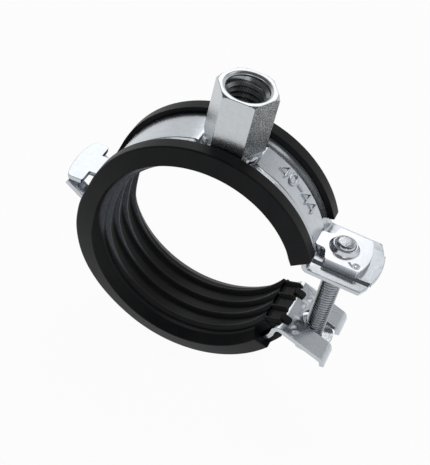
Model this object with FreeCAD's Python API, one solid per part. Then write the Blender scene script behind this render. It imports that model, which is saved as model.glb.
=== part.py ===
import FreeCAD, Part
import math
import os

os.makedirs("parts", exist_ok=True)

# Rubber lined pipe clamp for pipes of about 44.5 mm.
# Frame: the middle of the upper half's pipe seat is the origin, Y runs along
# the pipe, Z points up through the threaded boss and X points to the bolt.
# All lengths are millimetres and all angles are degrees.

# Pipe and lining
pipe_radius = 22.25
seat_clearance = 0.1
rib_height = 1.05
rib_pitch = 4.7
rib_count = 4
rib_foot_half = 0.65
rib_tip_half = 0.3
lining_wall = 2.35
lip_height = 2.1
lip_inner_y = 6.9
lip_outer_y = 10.4
mouth_y = 11.8
mouth_flare = 1.5
mouth_land_y = 9.3
rubber_gap = 0.05

# Steel bands
sheet = 1.2
band_half = 9.2
pad_raise = 0.8
pad_half_ring = 3.3
pad_half_flange = 5.6
pad_wall = 0.8
pad_start_angle = 74.0
pad_left_angle = 106.0
pad_left_end = 160.0

# Right flange of the upper band
upper_flange_z = 8.7
upper_bend = 1.2
upper_flange_past_bolt = 9.9
upper_flange_nose = 17.6

# Left flange of the upper band, which carries the hook
left_flange_z = -0.1
left_bend = 1.2
left_half = 7.8
left_flat = 1.6
left_tilt = 32.0
left_tilt_bend = 2.0
left_ramp = 4.5
window_half = 3.85
window_length = 5.8
window_top = 1.9

# Lower half and the hook
open_angle = 4.0
lower_right_angle = 21.5
lower_bend = 0.8
lower_slope = 14.0
lower_flat = 11.5
lip_bend = 0.6
lip_turn = 57.0
lip_length = 1.0
hook_leave_angle = 163.0
hook_tilt = 8.0
hook_bend = 0.8
hook_past_window = 3.5
hook_neck_half = 3.5
hook_head_half = 7.85
hook_head_length = 5.0
hook_gap = 0.05
hook_nose = 24.0
lower_slot_start = 5.3

# Ends of the two linings
upper_lining_right = 24.0
lower_lining_right = 30.4
split_upper_z = -0.55
split_lower_z = -0.75
notch_gap = 0.3

# Closing bolt and nut plate
bolt_past_ring = 4.6
bolt_d = 4.9
bolt_length = 30.5
bolt_head_top = -17.3
bolt_washer_d = 10.2
bolt_washer = 1.0
bolt_hex = 8.0
bolt_hex_height = 3.2
bolt_tip_chamfer = 0.5
slot_gap = 0.3
running_gap = 0.05
plate_thick = 1.8
plate_half = 6.1
plate_before_bolt = 2.9
plate_past_bolt = 5.4
plate_nose_length = 1.3
tongue_length = 3.9
tongue_half = 2.7
collar_foot_d = 6.9
collar_rim_d = 5.9
collar_height = 1.2

# Threaded boss
boss_across = 13.0
boss_height = 15.5
boss_skirt = 3.0
boss_thread_d = 8.6
boss_depth = 12.0
boss_sink_d = 10.8
boss_edge_d = 14.2

# Radii and places that follow from the sizes above
crest_radius = pipe_radius + seat_clearance
land_radius = crest_radius + rib_height
band_in = land_radius + lining_wall + rubber_gap
band_out = band_in + sheet
lip_radius = band_out + lip_height
mouth_radius = land_radius + mouth_flare
window_reach = band_out + window_length
hook_reach = window_reach + hook_past_window
hook_head_start = hook_reach - hook_head_length
bolt_x = band_out + bolt_past_ring
upper_flange_reach = bolt_x + upper_flange_past_bolt
plate_left = bolt_x - plate_before_bolt
plate_right = bolt_x + plate_past_bolt
plate_nose = plate_right + plate_nose_length
tongue_tip = plate_left - tongue_length
boss_top = band_out + boss_height
boss_foot = band_out - boss_skirt

V = FreeCAD.Vector
AXIS_Y = V(0, 1, 0)
ORIGIN = V(0, 0, 0)


def sin(a):
    return math.sin(math.radians(a))


def cos(a):
    return math.cos(math.radians(a))


def ring_point(radius, angle):
    return V(radius * cos(angle), 0, radius * sin(angle))


def polygon_face(points):
    wire = Part.makePolygon(list(points) + [points[0]])
    return Part.Face(wire)


def join(shapes):
    whole = shapes[0]
    for shape in shapes[1:]:
        whole = whole.fuse(shape)
    return whole.removeSplitter()


def section(half, raised):
    # Cross section of the sheet as pairs of width and height over the margin.
    if raised <= 0:
        return [(-half, -sheet), (half, -sheet), (half, 0), (-half, 0)]
    foot = raised + pad_wall
    return [
        (-half, -sheet), (-foot, -sheet), (-raised, pad_raise - sheet),
        (raised, pad_raise - sheet), (foot, -sheet), (half, -sheet),
        (half, 0), (foot, 0), (raised, pad_raise), (-raised, pad_raise),
        (-foot, 0), (-half, 0),
    ]


class SheetPath:
    # Walks along the outer face of a bent sheet and leaves a solid behind.
    def __init__(self, point, travel, normal):
        self.point = point
        self.travel = travel
        self.normal = normal
        self.pieces = []

    def face(self, profile):
        points = [self.point + AXIS_Y * y + self.normal * n for y, n in profile]
        return polygon_face(points)

    def straight(self, length, profile):
        step = self.travel * length
        self.pieces.append(self.face(profile).extrude(step))
        self.point = self.point + step

    def bend(self, radius, angle, profile, outward=True):
        side = 1 if outward else -1
        centre = self.point + self.normal * (radius * side)
        cross = AXIS_Y.cross(self.travel)
        turn = angle * side * (1 if cross.dot(self.normal) > 0 else -1)
        self.pieces.append(self.face(profile).revolve(centre, AXIS_Y, turn))
        spin = FreeCAD.Rotation(AXIS_Y, turn)
        self.point = centre + spin.multVec(self.point - centre)
        self.travel = spin.multVec(self.travel)
        self.normal = spin.multVec(self.normal)


def ring_piece(profile, start, sweep):
    # Turns a section from one ring angle clockwise, seen from the front.
    out = ring_point(1, start)
    base = out * band_out
    points = [base + AXIS_Y * y + out * n for y, n in profile]
    return polygon_face(points).revolve(ORIGIN, AXIS_Y, sweep)


def leave_ring(angle, clockwise):
    # Starts a sheet path where the band leaves the ring.
    out = ring_point(1, angle)
    travel = V(out.z, 0, -out.x)
    if not clockwise:
        travel = travel * -1
    return SheetPath(out * band_out, travel, out)


def upright_cylinder(radius, x, y, low, high):
    return Part.makeCylinder(radius, high - low, V(x, y, low))


def slot_tool(radius, x_start, x_end, low, high):
    tool = upright_cylinder(radius, x_start, 0, low, high)
    tool = tool.fuse(upright_cylinder(radius, x_end, 0, low, high))
    box = Part.makeBox(x_end - x_start, 2 * radius, high - low, V(x_start, -radius, low))
    return tool.fuse(box)


def open_lower(shape):
    shape = shape.copy()
    shape.rotate(hinge_point, AXIS_Y, open_angle)
    return shape


# Where the upper band turns into its right flange and its left flange
right_centre = band_out + upper_bend
right_angle = math.degrees(math.asin((upper_flange_z + upper_bend) / right_centre))
left_centre = band_out + left_bend
left_angle = 180 - math.degrees(math.asin((left_flange_z + left_bend) / left_centre))


def left_flange():
    path = leave_ring(left_angle, clockwise=False)
    flat = section(left_half, 0)
    path.bend(left_bend, left_angle - 90, flat)
    path.straight(left_flat, flat)
    path.bend(left_tilt_bend, left_tilt, flat)
    path.straight(left_ramp, flat)
    return path


left_path = left_flange()
hinge_point = V(left_path.point)


def make_upper_band():
    plain = section(band_half, 0)
    padded = section(band_half, pad_half_ring)
    pieces = []
    pieces.append(ring_piece(plain, left_angle, left_angle - pad_left_end))
    pieces.append(ring_piece(padded, pad_left_end, pad_left_end - pad_left_angle))
    pieces.append(ring_piece(plain, pad_left_angle, pad_left_angle - pad_start_angle))
    pieces.append(ring_piece(padded, pad_start_angle, pad_start_angle - right_angle))
    pieces.extend(left_path.pieces)
    path = leave_ring(right_angle, clockwise=True)
    wide = section(band_half, pad_half_flange)
    path.bend(upper_bend, 90 - right_angle, wide)
    reach = upper_flange_reach - path.point.x
    path.straight(reach, wide)
    pieces.extend(path.pieces)
    band = join(pieces)
    # The flange ends in a shallow nose.
    nose_x = upper_flange_reach - upper_flange_nose
    keep = upright_cylinder(upper_flange_nose, nose_x, 0, -60, 60)
    left_block = Part.makeBox(nose_x + 60, 60, 120, V(-60, -30, -60))
    band = band.common(keep.fuse(left_block))
    # Long slot for the bolt, and the window that takes the nut plate's tongue.
    slot_r = bolt_d / 2 + slot_gap
    low = upper_flange_z - 3
    band = band.cut(slot_tool(slot_r, bolt_x - 0.2, bolt_x + 3.9, low, low + 6))
    gap = notch_gap
    plate_low = upper_flange_z + pad_raise
    tongue = Part.makeBox(
        4, 2 * (tongue_half + gap), plate_thick + gap,
        V(tongue_tip - gap, -tongue_half - gap, plate_low))
    band = band.cut(tongue)
    # Window that the hook comes up through.
    window = Part.makeBox(
        window_reach - band_in + 1.5, 2 * window_half, window_top + 6,
        V(-window_reach, -window_half, -6))
    band = band.cut(window)
    return band.removeSplitter()


def make_lower_band():
    plain = section(band_half, 0)
    padded = section(band_half, pad_half_ring)
    bottom = 180 - 2 * (lower_right_angle + 10)
    pieces = []
    sweep_all = hook_leave_angle - lower_right_angle
    pieces.append(ring_piece(plain, -lower_right_angle, 10))
    pieces.append(ring_piece(padded, -lower_right_angle - 10, bottom))
    pieces.append(ring_piece(plain, -lower_right_angle - 10 - bottom, sweep_all - 10 - bottom))
    # Right flange with its turned down lips.
    path = leave_ring(-lower_right_angle, clockwise=False)
    path.bend(lower_bend, 90 - lower_right_angle + lower_slope, plain)
    along = V(path.travel)
    foot = V(path.point)
    up = path.normal * -1
    path.straight(lower_flat, plain)
    path.bend(lip_bend, lip_turn, plain)
    path.straight(lip_length, plain)
    pieces.extend(path.pieces)
    # Neck and head of the hook.
    neck = section(hook_neck_half, 0)
    path = leave_ring(-hook_leave_angle, clockwise=True)
    under = V(hinge_point.x, 0, hinge_point.z + hook_gap)
    direction = V(-cos(hook_tilt), 0, -sin(hook_tilt))
    meet = cross_lines(path.point, path.travel, under, direction)
    turn = 180 + hook_tilt - math.degrees(math.atan2(path.travel.z, path.travel.x))
    trim = hook_bend * math.tan(math.radians(turn / 2))
    path.straight(path.point.distanceToPoint(meet) - trim, neck)
    path.bend(hook_bend, turn, neck)
    pieces.extend(path.pieces)
    path.pieces = []
    start = (path.point.x + hook_head_start) / cos(hook_tilt)
    path.straight(start, neck)
    pieces.extend(path.pieces)
    pieces.append(hook_head(path))
    band = join(pieces)
    # Slot that lets the bolt in from the side.
    slot_r = bolt_d / 2 + slot_gap
    middle = foot + along * (lower_slot_start / cos(lower_slope))
    hole = Part.makeCylinder(slot_r, 12, middle - up * 6, up)
    corner = middle - up * 6 - AXIS_Y * slot_r
    mouth = polygon_face([
        corner, corner + along * 14, corner + along * 14 + AXIS_Y * (2 * slot_r),
        corner + AXIS_Y * (2 * slot_r)]).extrude(up * 12)
    band = band.cut(hole.fuse(mouth))
    return open_lower(band.removeSplitter())


def cross_lines(p, d, q, e):
    det = d.x * -e.z + e.x * d.z
    s = ((q.x - p.x) * -e.z + e.x * (q.z - p.z)) / det
    return p + d * s


def hook_head(path):
    # The cross bar of the hook: bowed outer edge, rounded inner corners.
    length = (hook_reach + path.point.x) / cos(hook_tilt)
    half = hook_head_half
    u = path.travel
    base = path.point
    slab = polygon_face([
        base - AXIS_Y * half, base + u * length - AXIS_Y * half,
        base + u * length + AXIS_Y * half, base + AXIS_Y * half])
    slab = slab.extrude(path.normal * -sheet)
    nose = Part.makeCylinder(
        hook_nose, 12, base + u * (length - hook_nose) + path.normal * 6, path.normal * -1)
    slab = slab.common(nose)
    edges = []
    for edge in slab.Edges:
        ends = [vertex.Point for vertex in edge.Vertexes]
        if len(ends) == 2:
            line = ends[1] - ends[0]
            if abs(line.Length - sheet) < 0.01 and abs(ends[0].y) > half - 0.5:
                edges.append(edge)
    return slab.makeFillet(1.0, edges)


def lining_section():
    # Half section of the rubber from the middle to the mouth, then mirrored.
    side = [(band_half + rubber_gap, land_radius + lining_wall)]
    side.append((band_half + rubber_gap, band_out + rubber_gap))
    side.append((lip_inner_y, band_out + rubber_gap))
    side.append((lip_inner_y, lip_radius))
    side.append((lip_outer_y - 0.35, lip_radius))
    side.append((lip_outer_y, lip_radius - 0.25))
    side.append((mouth_y, mouth_radius))
    side.append((mouth_land_y, land_radius))
    centre = rib_pitch * (rib_count - 1) / 2
    while centre > 0:
        side.append((centre + rib_foot_half, land_radius))
        side.append((centre + rib_tip_half, crest_radius))
        side.append((centre - rib_tip_half, crest_radius))
        side.append((centre - rib_foot_half, land_radius))
        centre -= rib_pitch
    other = [(-y, r) for y, r in reversed(side)]
    return side + other


def lining_arc(start, sweep):
    out = ring_point(1, start)
    points = [AXIS_Y * y + out * r for y, r in lining_section()]
    return polygon_face(points).revolve(ORIGIN, AXIS_Y, sweep)


def make_upper_lining():
    lining = lining_arc(190, 190 - upper_lining_right)
    below = Part.makeBox(60, 60, 40, V(-60, -30, split_upper_z - 40))
    lining = lining.cut(below)
    # Room in the lips for the left flange.
    wide = left_half + notch_gap
    top = left_flange_z + left_bend
    room = Part.makeBox(10, 2 * wide, 20, V(-band_in - 10, -wide, top - 20))
    return lining.cut(room)


def make_lower_lining():
    sweep = 190 - lower_lining_right
    lining = lining_arc(-lower_lining_right, sweep)
    above = Part.makeBox(60, 60, 40, V(-60, -30, split_lower_z))
    lining = lining.cut(above)
    # Room for the left flange of the upper band, which hangs a little lower.
    wide = left_half + notch_gap
    low = left_flange_z - sheet - notch_gap
    room = Part.makeBox(10, 2 * wide, 20, V(-band_in - 10, -wide, low))
    lining = lining.cut(room)
    return open_lower(lining)


def make_threaded_boss():
    side = boss_across / math.sqrt(3)
    corners = [V(side * cos(a), side * sin(a), 0) for a in range(0, 360, 60)]
    blank = polygon_face(corners).extrude(V(0, 0, boss_top))
    # Turned corners at the top and the bottom.
    height = 2 * math.tan(math.radians(30))
    crown = Part.makeCone(boss_edge_d / 2, boss_edge_d / 2 + 2, height)
    crown.rotate(ORIGIN, V(1, 0, 0), 180)
    crown.translate(V(0, 0, boss_top))
    body = upright_cylinder(
        boss_edge_d / 2 + 2, 0, 0, boss_foot + height, boss_top - height)
    foot = Part.makeCone(boss_edge_d / 2, boss_edge_d / 2 + 2, height, V(0, 0, boss_foot))
    blank = blank.common(join([crown, body, foot]))
    # The foot is hollowed to sit on the band.
    saddle = Part.makeCylinder(band_out, 60, V(0, -30, 0), AXIS_Y)
    blank = blank.cut(saddle)
    hole = upright_cylinder(boss_thread_d / 2, 0, 0, boss_top - boss_depth, boss_top + 1)
    sink_h = (boss_sink_d - boss_thread_d) / 2
    sink = Part.makeCone(
        boss_thread_d / 2, boss_sink_d / 2, sink_h, V(0, 0, boss_top - sink_h))
    return blank.cut(hole).cut(sink)


def make_nut_plate():
    low = upper_flange_z + pad_raise
    r = 1.2
    shoulder = plate_left + 0.2
    notch_x = (tongue_tip + plate_left) / 2 + 0.6
    top = [
        (tongue_tip, tongue_half - r), (tongue_tip + r, tongue_half),
        (notch_x, tongue_half - 0.1), (notch_x + 0.9, tongue_half + 0.3),
        (notch_x + 1.35, tongue_half + 1.1), (shoulder - 0.1, plate_half - 0.5),
        (shoulder + 0.5, plate_half), (plate_right - 0.2, plate_half),
        (plate_right + 0.3, plate_half - 0.4), (plate_right + 0.8, plate_half * 0.6),
        (plate_nose - 0.15, plate_half * 0.3), (plate_nose, 0),
    ]
    points = [V(x, y, low) for x, y in top]
    points += [V(x, -y, low) for x, y in reversed(top[:-1])]
    plate = polygon_face(points).extrude(V(0, 0, plate_thick))
    collar_top = low + plate_thick + collar_height
    collar = Part.makeCone(
        collar_foot_d / 2, collar_rim_d / 2, collar_height,
        V(bolt_x, 0, low + plate_thick))
    hole = upright_cylinder(bolt_d / 2 + running_gap, bolt_x, 0, low - 1, collar_top + 1)
    return plate.fuse(collar).removeSplitter().cut(hole)


def make_closing_bolt():
    top = bolt_head_top + bolt_length
    shank = upright_cylinder(bolt_d / 2, bolt_x, 0, bolt_head_top, top)
    tip = [edge for edge in shank.Edges if abs(edge.BoundBox.ZMin - top) < 0.01]
    shank = shank.makeChamfer(bolt_tip_chamfer, tip)
    low = bolt_head_top - bolt_washer
    washer = upright_cylinder(bolt_washer_d / 2, bolt_x, 0, low, bolt_head_top)
    side = bolt_hex / math.sqrt(3)
    corners = [V(bolt_x + side * cos(a), side * sin(a), low) for a in range(0, 360, 60)]
    head = polygon_face(corners).extrude(V(0, 0, -bolt_hex_height))
    round_off = Part.makeCone(
        bolt_hex / 2 - 0.1, side + 1.2, 1.2 + side - bolt_hex / 2,
        V(bolt_x, 0, low - bolt_hex_height))
    upper = upright_cylinder(
        side + 1.2, bolt_x, 0, low - bolt_hex_height + 1.2 + side - bolt_hex / 2, low + 1)
    head = head.common(round_off.fuse(upper))
    return join([shank, washer, head])


makers = {
    "upper_band": make_upper_band,
    "lower_band": make_lower_band,
    "upper_lining": make_upper_lining,
    "lower_lining": make_lower_lining,
    "threaded_boss": make_threaded_boss,
    "nut_plate": make_nut_plate,
    "closing_bolt": make_closing_bolt,
}

for name, maker in makers.items():
    maker().exportStep("parts/" + name + ".step")
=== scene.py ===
import math

import bmesh
import bpy
from mathutils import Matrix, Vector
from mathutils.bvhtree import BVHTree


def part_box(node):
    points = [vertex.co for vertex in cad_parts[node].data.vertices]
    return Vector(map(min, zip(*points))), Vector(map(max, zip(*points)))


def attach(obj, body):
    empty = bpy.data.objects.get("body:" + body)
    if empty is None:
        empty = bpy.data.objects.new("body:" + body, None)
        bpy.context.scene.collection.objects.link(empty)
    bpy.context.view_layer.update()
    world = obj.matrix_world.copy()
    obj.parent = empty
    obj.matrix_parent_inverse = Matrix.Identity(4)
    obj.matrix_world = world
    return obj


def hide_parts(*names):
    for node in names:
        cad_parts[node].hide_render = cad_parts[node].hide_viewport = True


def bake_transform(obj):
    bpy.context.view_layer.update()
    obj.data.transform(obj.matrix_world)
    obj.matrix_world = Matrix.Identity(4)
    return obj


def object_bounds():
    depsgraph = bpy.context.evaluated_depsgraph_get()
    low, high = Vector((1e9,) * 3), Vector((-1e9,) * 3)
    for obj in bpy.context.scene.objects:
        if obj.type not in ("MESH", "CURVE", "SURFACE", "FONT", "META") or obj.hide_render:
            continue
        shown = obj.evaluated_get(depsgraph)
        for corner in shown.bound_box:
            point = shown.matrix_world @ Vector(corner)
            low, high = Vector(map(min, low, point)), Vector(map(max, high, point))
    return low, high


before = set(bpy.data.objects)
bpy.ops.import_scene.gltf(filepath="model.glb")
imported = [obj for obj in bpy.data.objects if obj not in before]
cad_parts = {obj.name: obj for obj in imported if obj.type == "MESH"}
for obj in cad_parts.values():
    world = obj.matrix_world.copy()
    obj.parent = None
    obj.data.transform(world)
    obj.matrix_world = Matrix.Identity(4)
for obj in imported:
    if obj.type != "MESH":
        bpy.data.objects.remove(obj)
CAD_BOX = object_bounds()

bl_info = {
    "name": "Rubber lined pipe clamp",
    "version": (1, 0, 0),
    "blender": (4, 5, 0),
    "location": "View3D > Sidebar > Pipe clamp",
    "description": "Dresses a two piece pipe clamp with a rubber lining and a threaded boss",
    "category": "Add Mesh",
}

# Every piece is shaped in millimetres and turned to metres when it is finished.
MM = 0.001

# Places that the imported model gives
BOLT_LOW, BOLT_HIGH = (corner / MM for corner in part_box("closing_bolt"))
PLATE_LOW, PLATE_HIGH = (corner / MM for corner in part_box("nut_plate"))
BOLT_X = (BOLT_LOW.x + BOLT_HIGH.x) / 2
BOSS_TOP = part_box("threaded_boss")[1].z / MM
Y_AXIS = Vector((0, 1, 0))
ORIGIN = Vector((0, 0, 0))


def linear(hex_code):
    """Turns an sRGB hex colour into the linear colour that a node wants."""
    parts = [int(hex_code[k:k + 2], 16) / 255 for k in (1, 3, 5)]
    parts = [c / 12.92 if c <= 0.04045 else ((c + 0.055) / 1.055) ** 2.4 for c in parts]
    return (*parts, 1.0)


def length_of(label, about, value):
    """A length property whose default is given in millimetres."""
    return bpy.props.FloatProperty(
        name=label, description=about, default=value * MM, unit="LENGTH", precision=5)


def colour_of(label, about, hex_code):
    """A colour property whose default is given as sRGB hex."""
    return bpy.props.FloatVectorProperty(
        name=label, description=about, default=linear(hex_code), subtype="COLOR",
        size=4, min=0, max=1)


class ClampSizes(bpy.types.PropertyGroup):
    """Sizes of the clamp that a user may change."""

    sheet: length_of("Sheet", "Thickness of the steel bands", 1.2)
    band_half: length_of("Half band", "Half of the band's width", 9.2)
    band_outer: length_of("Band radius", "Outer radius of the band", 27.0)
    pad_raise: length_of("Pad", "How far the middle of the band stands up", 0.8)
    edge_round: length_of("Edge", "Rounding of the sheet's cut edges", 0.16)
    seat: length_of("Seat", "Radius over the tips of the lining's ribs", 22.35)
    lip: length_of("Lip", "How far the lining's lips stand over the band", 2.1)
    bolt: length_of("Bolt", "Outer diameter of the closing bolt", 4.9)
    bolt_pitch: length_of("Bolt pitch", "Distance from one bolt thread to the next", 0.8)
    boss_thread: length_of("Boss thread", "Inner diameter of the boss thread", 8.6)
    boss_pitch: length_of("Boss pitch", "Distance from one boss thread to the next", 1.5)
    boss_across: length_of("Boss", "Width of the hexagon across its flats", 13.0)
    opening: bpy.props.FloatProperty(
        name="Opening", description="How far the lower half hangs open",
        default=math.radians(4), subtype="ANGLE")


class ClampFinishes(bpy.types.PropertyGroup):
    """Colours of the clamp that a user may change."""

    zinc_band: colour_of("Band zinc", "Bluish zinc of the two bands", "#C3C8CE")
    zinc_boss: colour_of("Boss zinc", "Zinc of the threaded boss", "#C6CACD")
    zinc_plate: colour_of("Plate zinc", "Bright zinc of the nut plate", "#D2D5DA")
    zinc_bolt: colour_of("Bolt zinc", "Bright zinc of the bolt", "#C9CDD1")
    rubber: colour_of("Rubber", "Black rubber of the lining", "#0D0E10")
    floor: colour_of("Floor", "Pale studio floor", "#F4F4F4")


def sizes():
    return bpy.context.scene.clamp_sizes


def mm(name):
    """A size from the panel, in millimetres."""
    return getattr(sizes(), name) / MM


def turn_y(centre, degrees):
    """Matrix that turns about a line along Y through a point."""
    spin = Matrix.Rotation(math.radians(degrees), 4, "Y")
    return Matrix.Translation(centre) @ spin @ Matrix.Translation(-centre)


def ring_point(radius, degrees):
    angle = math.radians(degrees)
    return Vector((radius * math.cos(angle), 0, radius * math.sin(angle)))


def smooth_step(low, high, value):
    """Rises softly from 0 at low to 1 at high. It falls where low is the larger one."""
    share = min(1.0, max(0.0, (value - low) / (high - low)))
    return share * share * (3 - 2 * share)


def wire(bm, points, closed=False):
    """A line of vertices joined by edges, which the operators then sweep."""
    verts = [bmesh.ops.create_vert(bm, co=point)["vert"][0] for point in points]
    pairs = list(zip(verts, verts[1:])) + ([(verts[-1], verts[0])] if closed else [])
    return verts + [bm.edges.new(pair) for pair in pairs]


def only(geometry, kind):
    return [item for item in geometry if isinstance(item, kind)]


def absorb(bm, other):
    """Puts another bmesh into this one and frees it."""
    mesh = bpy.data.meshes.new("part")
    other.to_mesh(mesh)
    other.free()
    bm.from_mesh(mesh)
    bpy.data.meshes.remove(mesh)


def sweep_on(bm, edges):
    """Extrudes edges and gives the new points and the new front edges."""
    made = bmesh.ops.extrude_edge_only(bm, edges=edges)["geom"]
    fresh = only(made, bmesh.types.BMVert)
    known = set(fresh)
    return fresh, [e for e in only(made, bmesh.types.BMEdge) if known.issuperset(e.verts)]


def settle(piece):
    """Puts the points and faces of a piece in one order, so that each run gives the same."""
    mesh = piece.data
    order = sorted(range(len(mesh.vertices)), key=lambda k: mesh.vertices[k].co[:])
    rank = {old: new for new, old in enumerate(order)}
    faces = []
    for face in mesh.polygons:
        ring = [rank[k] for k in face.vertices]
        first = ring.index(min(ring))
        faces.append(ring[first:] + ring[:first])
    made = bpy.data.meshes.new(piece.name)
    made.from_pydata([mesh.vertices[k].co[:] for k in order], [], sorted(faces))
    piece.data = made
    bpy.data.meshes.remove(mesh)


def finish_mesh(bm, name, matrix=None):
    """Turns a bmesh in millimetres into an object in metres at the origin."""
    if matrix is not None:
        bmesh.ops.transform(bm, matrix=matrix, verts=bm.verts)
    bmesh.ops.scale(bm, vec=(MM, MM, MM), verts=bm.verts)
    mesh = bpy.data.meshes.new(name)
    bm.to_mesh(mesh)
    bm.free()
    piece = bpy.data.objects.new(name, mesh)
    bpy.context.scene.collection.objects.link(piece)
    settle(piece)
    return piece


def bake(piece):
    """Applies the modifiers of a piece."""
    graph = bpy.context.evaluated_depsgraph_get()
    graph.update()
    mesh = bpy.data.meshes.new_from_object(piece.evaluated_get(graph))
    piece.modifiers.clear()
    piece.data = mesh
    mesh.name = piece.name


def boolean(piece, tools, operation="DIFFERENCE"):
    """Cuts the tools out of a piece, or joins them to it, and removes them."""
    for tool in tools:
        cut = piece.modifiers.new("cut", "BOOLEAN")
        cut.object = tool
        cut.operation = operation
        cut.solver = "MANIFOLD"
    bake(piece)
    settle(piece)
    for tool in tools:
        bpy.data.objects.remove(tool)


def tidy_flats(piece, degrees=0.03):
    """Joins faces that lie in one plane, so that the bevel has clean edges."""
    bm = bmesh.new()
    bm.from_mesh(piece.data)
    bmesh.ops.remove_doubles(bm, verts=bm.verts, dist=2e-6)
    bmesh.ops.dissolve_limit(
        bm, angle_limit=math.radians(degrees), verts=bm.verts, edges=bm.edges)
    bm.to_mesh(piece.data)
    bm.free()
    settle(piece)


# A rounded edge stays nearer to the sharp one than this share of its width.
SPIKE_SHARE = 0.6


def round_edges(piece, width, segments=2, limit=35.0, weighted=True):
    """Rounds the sharp edges by a width in millimetres and shades the piece smooth."""
    mesh = piece.data
    sharp = BVHTree.FromPolygons(
        [vert.co.copy() for vert in mesh.vertices], [face.vertices[:] for face in mesh.polygons])
    bevel = piece.modifiers.new("round", "BEVEL")
    bevel.width = width * MM
    bevel.segments = segments
    bevel.limit_method = "ANGLE"
    bevel.angle_limit = math.radians(limit)
    bevel.use_clamp_overlap = False
    bevel.miter_outer = "MITER_ARC"
    bake(piece)
    settle(piece)
    # A point that the bevel threw off a short edge goes back to the surface.
    for vert in piece.data.vertices:
        place, _, _, distance = sharp.find_nearest(vert.co)
        if distance > SPIKE_SHARE * width * MM:
            vert.co = place
    shade(piece, weighted=weighted)


def shade(piece, limit=50.0, weighted=True):
    """Shades a piece smooth, apart from edges sharper than the limit."""
    piece.data.shade_smooth()
    piece.data.set_sharp_from_angle(angle=math.radians(limit))
    if weighted:
        even = piece.modifiers.new("even", "WEIGHTED_NORMAL")
        even.keep_sharp = True
        bake(piece)


def lathe(profile, steps, x=0.0):
    """Turns a profile of radius and height once round an upright axis."""
    bm = bmesh.new()
    geometry = wire(bm, [Vector((x + r, 0, z)) for r, z in profile])
    bmesh.ops.spin(
        bm, geom=geometry, cent=(x, 0, 0), axis=(0, 0, 1), angle=math.tau,
        steps=steps, use_merge=True)
    bmesh.ops.remove_doubles(bm, verts=bm.verts, dist=0.001)
    bmesh.ops.recalc_face_normals(bm, faces=bm.faces)
    return bm


def hexagon(bm, across, x=0.0):
    """Cuts a turned blank to a hexagon with two corners along X."""
    for k in range(6):
        angle = math.radians(30 + 60 * k)
        out = Vector((math.cos(angle), math.sin(angle), 0))
        everything = bm.verts[:] + bm.edges[:] + bm.faces[:]
        made = bmesh.ops.bisect_plane(
            bm, geom=everything, dist=1e-5, plane_co=Vector((x, 0, 0)) + out * across / 2,
            plane_no=out, clear_outer=True)
        bmesh.ops.edgeloop_fill(bm, edges=only(made["geom_cut"], bmesh.types.BMEdge))
    bmesh.ops.recalc_face_normals(bm, faces=bm.faces)


def thread(x, root, crest, pitch, low, turns, steps=40, flat=0.12, fade=0.5):
    """Sweeps one thread ridge up a right-handed screw line. Its ends fade out."""
    bm = bmesh.new()
    half = pitch * 0.49
    land = pitch * flat / 2
    profile = [(root, -half), (crest, -land), (crest, land), (root, half)]
    points = [Vector((x + r, 0, low + z)) for r, z in profile]
    geometry = wire(bm, points, closed=True)
    count = int(turns * steps)
    bmesh.ops.spin(
        bm, geom=geometry, cent=(x, 0, 0), axis=(0, 0, 1), dvec=(0, 0, pitch / steps),
        angle=math.tau * count / steps, steps=count)
    for index, vert in enumerate(bm.verts):
        row = index // 4
        share = min(1.0, row / (steps * fade), (count - row) / (steps * fade))
        reach = Vector((vert.co.x - x, vert.co.y, 0))
        wanted = root + (reach.length - root) * share
        reach *= wanted / reach.length
        vert.co.x, vert.co.y = x + reach.x, reach.y
    bmesh.ops.holes_fill(bm, edges=[e for e in bm.edges if e.is_boundary], sides=4)
    bmesh.ops.recalc_face_normals(bm, faces=bm.faces)
    ridge = finish_mesh(bm, "thread")
    shade(ridge, 40, False)
    return ridge


def outline_solid(points, low, high):
    """Extrudes an outline. Each point is x, y and the rounding of that corner."""
    bm = bmesh.new()
    verts = [bmesh.ops.create_vert(bm, co=(x, y, low))["vert"][0] for x, y, r in points]
    bm.faces.new(verts)
    for vert, (x, y, r) in zip(verts, points):
        if r > 0:
            bmesh.ops.bevel(
                bm, geom=[vert], offset=r, offset_type="OFFSET", segments=8, profile=0.5,
                affect="VERTICES", material=-1, clamp_overlap=False)
    made = bmesh.ops.extrude_face_region(bm, geom=bm.faces[:])
    bmesh.ops.translate(
        bm, vec=(0, 0, high - low), verts=only(made["geom"], bmesh.types.BMVert))
    bmesh.ops.recalc_face_normals(bm, faces=bm.faces)
    return bm


def block(name, low, high, matrix=None):
    """A plain box that only serves as a cutting tool."""
    bm = bmesh.new()
    bmesh.ops.create_cube(bm, size=1)
    size = Vector(high) - Vector(low)
    bmesh.ops.scale(bm, vec=size, verts=bm.verts)
    bmesh.ops.translate(bm, vec=(Vector(high) + Vector(low)) / 2, verts=bm.verts)
    return finish_mesh(bm, name, matrix)


def slot_tool(radius, start, end, low, high, matrix=None, steps=24):
    """A cutter for a long hole from one x to another."""
    points = []
    for middle, first in ((start, math.pi / 2), (end, -math.pi / 2)):
        for k in range(steps):
            angle = first + math.pi * k / (steps - 1)
            points.append((middle + radius * math.cos(angle), radius * math.sin(angle), 0))
    return finish_mesh(outline_solid(points, low, high), "slot_tool", matrix)


def words(body, size, depth):
    """Flat text as a mesh in millimetres, centred on the origin and facing +Z."""
    curve = bpy.data.curves.new("words", "FONT")
    curve.body = body
    curve.size = size
    curve.align_x = "CENTER"
    curve.align_y = "CENTER"
    curve.extrude = depth
    curve.resolution_u = 4
    return curve_mesh(curve)


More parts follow.
